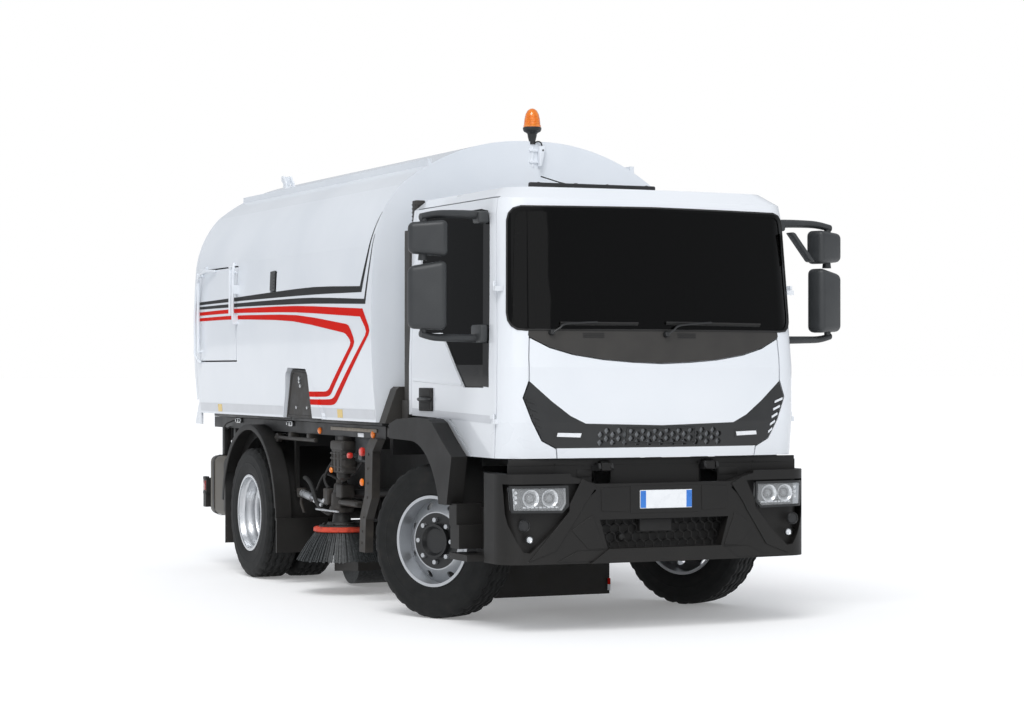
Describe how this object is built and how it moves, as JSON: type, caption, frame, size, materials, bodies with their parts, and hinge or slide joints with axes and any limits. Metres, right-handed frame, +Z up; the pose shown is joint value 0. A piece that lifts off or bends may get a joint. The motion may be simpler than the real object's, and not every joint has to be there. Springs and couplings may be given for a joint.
{
  "type": "street sweeper truck",
  "caption": "Two-axle street sweeper truck with a tilting cab, an arched tipping debris hopper, side brushes and a roller brush.",
  "frame": {"origin": "on the ground, in the middle of the overall length and width", "axes": "+Z up, the truck faces -Y, +X is its left side"},
  "size_m": [3.1, 6.28, 3.457],
  "materials": {
    "frame_black": "satin",
    "cast_black": "matte",
    "engine_grey": "matte",
    "white_paint": "gloss",
    "black_plastic": "matte",
    "clear_lamp": "gloss",
    "red_lamp": "gloss",
    "dark_glass": "gloss",
    "tyre_rubber": "matte",
    "rubber_sheet": "matte",
    "silver_paint": "satin",
    "seat_fabric": "matte",
    "grey_plastic": "matte",
    "amber_lens": "gloss",
    "brush_bristle": "matte",
    "bright_steel": "polished"
  },
  "bodies": {
    "chassis": {"frame": "frame_black", "engine": "engine_grey", "front_axle": "cast_black", "rear_axle": "cast_black", "bumper": "black_plastic", "headlamps": "clear_lamp", "front_fenders": "black_plastic", "rear_fenders": "black_plastic", "mud_flaps": "rubber_sheet", "side_tanks": "black_plastic", "equipment": "grey_plastic", "tail_bar": "frame_black", "tail_lamps": "red_lamp", "brush_hood": "frame_black", "conveyor": "frame_black"},
    "cab": {"cab_shell": "white_paint", "windscreen": "dark_glass", "cab_trim": "black_plastic", "seats": "seat_fabric", "dashboard": "grey_plastic"},
    "front_hood": {"hood": "white_paint", "grille": "black_plastic"},
    "hopper": {"hopper": "white_paint", "beacon": "amber_lens"},
    "hatch": {"hopper_hatch": "white_paint"},
    "rear_door": {"rear_door": "white_paint"},
    "roller": {"roller_brush": "brush_bristle"},
    "tie_rod": {"tie_rod": "cast_black"},
    "door_left": {"door_left": "white_paint", "door_glass_left": "dark_glass", "mirrors_left": "black_plastic"},
    "knuckle_left": {"knuckle_left": "cast_black"},
    "wheel_front_left": {"tyre_front_left": "tyre_rubber", "rim_front_left": "silver_paint"},
    "wheels_rear_left": {"tyres_rear_left": "tyre_rubber", "rims_rear_left": "silver_paint"},
    "lift_barrel_left": {"lift_barrel_left": "frame_black"},
    "lift_ram_left": {"lift_ram_left": "bright_steel"},
    "brush_arm_left": {"brush_arm_left": "frame_black"},
    "side_brush_left": {"side_brush_left": "brush_bristle"},
    "door_right": {"door_right": "white_paint", "door_glass_right": "dark_glass", "mirrors_right": "black_plastic"},
    "knuckle_right": {"knuckle_right": "cast_black"},
    "wheel_front_right": {"tyre_front_right": "tyre_rubber", "rim_front_right": "silver_paint"},
    "wheels_rear_right": {"tyres_rear_right": "tyre_rubber", "rims_rear_right": "silver_paint"},
    "lift_barrel_right": {"lift_barrel_right": "frame_black"},
    "lift_ram_right": {"lift_ram_right": "bright_steel"},
    "brush_arm_right": {"brush_arm_right": "frame_black"},
    "side_brush_right": {"side_brush_right": "brush_bristle"}
  },
  "joints": [
    {"name": "cab_tilt", "type": "hinge", "parent": "chassis", "child": "cab", "pos_m": [0, -3.02, 1.02], "axis": [1, 0, 0], "range_deg": [0, 50]},
    {"name": "hood_swing", "type": "hinge", "parent": "cab", "child": "front_hood", "pos_m": [0, -3.065, 1.85], "axis": [-1, 0, 0], "range_deg": [0, 80]},
    {"name": "door_left_swing", "type": "hinge", "parent": "cab", "child": "door_left", "pos_m": [1.058, -2.872, 1.5], "axis": [0, 0, -1], "range_deg": [0, 70]},
    {"name": "steer_left", "type": "hinge", "parent": "chassis", "child": "knuckle_left", "pos_m": [0.8, -1.76, 0.506], "axis": [0, 0, 1], "range_deg": [-62, 6]},
    {"name": "wheel_front_left_spin", "type": "hinge", "parent": "knuckle_left", "child": "wheel_front_left", "pos_m": [0.96335, -1.67315, 0.506], "axis": [0.8829, 0.4695, 0], "continuous": true},
    {"name": "wheels_rear_left_spin", "type": "hinge", "parent": "chassis", "child": "wheels_rear_left", "pos_m": [0.915, 1.57, 0.506], "axis": [1, 0, 0], "continuous": true},
    {"name": "lift_barrel_left_swing", "type": "hinge", "parent": "chassis", "child": "lift_barrel_left", "pos_m": [0.25, 0.26, 0.72], "axis": [1, 0, 0], "range_deg": [0, 17]},
    {"name": "lift_ram_left_slide", "type": "slide", "parent": "lift_barrel_left", "child": "lift_ram_left", "axis": [0, 0.9734, 0.229], "range_m": [0, 0.42]},
    {"name": "brush_arm_left_swing", "type": "hinge", "parent": "chassis", "child": "brush_arm_left", "pos_m": [0.62, -0.44, 0.752], "axis": [0, 0, -1], "range_deg": [-4, 24]},
    {"name": "side_brush_left_spin", "type": "hinge", "parent": "brush_arm_left", "child": "side_brush_left", "pos_m": [1, 0.01, 0.5], "axis": [0, 0, 1], "continuous": true},
    {"name": "door_right_swing", "type": "hinge", "parent": "cab", "child": "door_right", "pos_m": [-1.058, -2.872, 1.5], "axis": [0, 0, 1], "range_deg": [0, 70]},
    {"name": "steer_right", "type": "hinge", "parent": "chassis", "child": "knuckle_right", "pos_m": [-0.8, -1.76, 0.506], "axis": [0, 0, 1], "range_deg": [-62, 6]},
    {"name": "wheel_front_right_spin", "type": "hinge", "parent": "knuckle_right", "child": "wheel_front_right", "pos_m": [-0.96335, -1.84685, 0.506], "axis": [0.8829, 0.4695, 0], "continuous": true},
    {"name": "wheels_rear_right_spin", "type": "hinge", "parent": "chassis", "child": "wheels_rear_right", "pos_m": [-0.915, 1.57, 0.506], "axis": [1, 0, 0], "continuous": true},
    {"name": "lift_barrel_right_swing", "type": "hinge", "parent": "chassis", "child": "lift_barrel_right", "pos_m": [-0.25, 0.26, 0.72], "axis": [1, 0, 0], "range_deg": [0, 17]},
    {"name": "lift_ram_right_slide", "type": "slide", "parent": "lift_barrel_right", "child": "lift_ram_right", "axis": [0, 0.9734, 0.229], "range_m": [0, 0.42]},
    {"name": "brush_arm_right_swing", "type": "hinge", "parent": "chassis", "child": "brush_arm_right", "pos_m": [-0.62, -0.44, 0.752], "axis": [0, 0, 1], "range_deg": [-4, 24]},
    {"name": "side_brush_right_spin", "type": "hinge", "parent": "brush_arm_right", "child": "side_brush_right", "pos_m": [-1, 0.01, 0.5], "axis": [0, 0, 1], "continuous": true},
    {"name": "hopper_tip", "type": "hinge", "parent": "chassis", "child": "hopper", "pos_m": [0, 2.81, 1.18], "axis": [-1, 0, 0], "range_deg": [0, 48]},
    {"name": "rear_door_swing", "type": "hinge", "parent": "hopper", "child": "rear_door", "pos_m": [0, 3.025, 3.25], "axis": [1, 0, 0], "range_deg": [0, 90]},
    {"name": "hatch_swing", "type": "hinge", "parent": "hopper", "child": "hatch", "pos_m": [-1.201, 2.38, 2.452], "axis": [0, 1, 0], "range_deg": [0, 100]},
    {"name": "tie_rod_swing", "type": "hinge", "parent": "knuckle_left", "child": "tie_rod", "pos_m": [0.70611, -1.58341, 0.452], "axis": [0, 0, 1], "range_deg": [-6, 62]},
    {"name": "roller_brush_spin", "type": "hinge", "parent": "chassis", "child": "roller", "pos_m": [0, 0.586, 0.236], "axis": [1, 0, 0], "continuous": true}
  ],
  "couplings": [
    {"joint": "lift_barrel_left_swing", "follows": "hopper_tip", "ratio": 0.3433},
    {"joint": "lift_ram_left_slide", "follows": "hopper_tip", "m_per_rad": 0.4749},
    {"joint": "lift_barrel_right_swing", "follows": "hopper_tip", "ratio": 0.3433},
    {"joint": "lift_ram_right_slide", "follows": "hopper_tip", "m_per_rad": 0.4749},
    {"joint": "steer_right", "follows": "steer_left", "ratio": 1},
    {"joint": "tie_rod_swing", "follows": "steer_left", "ratio": -1}
  ]
}
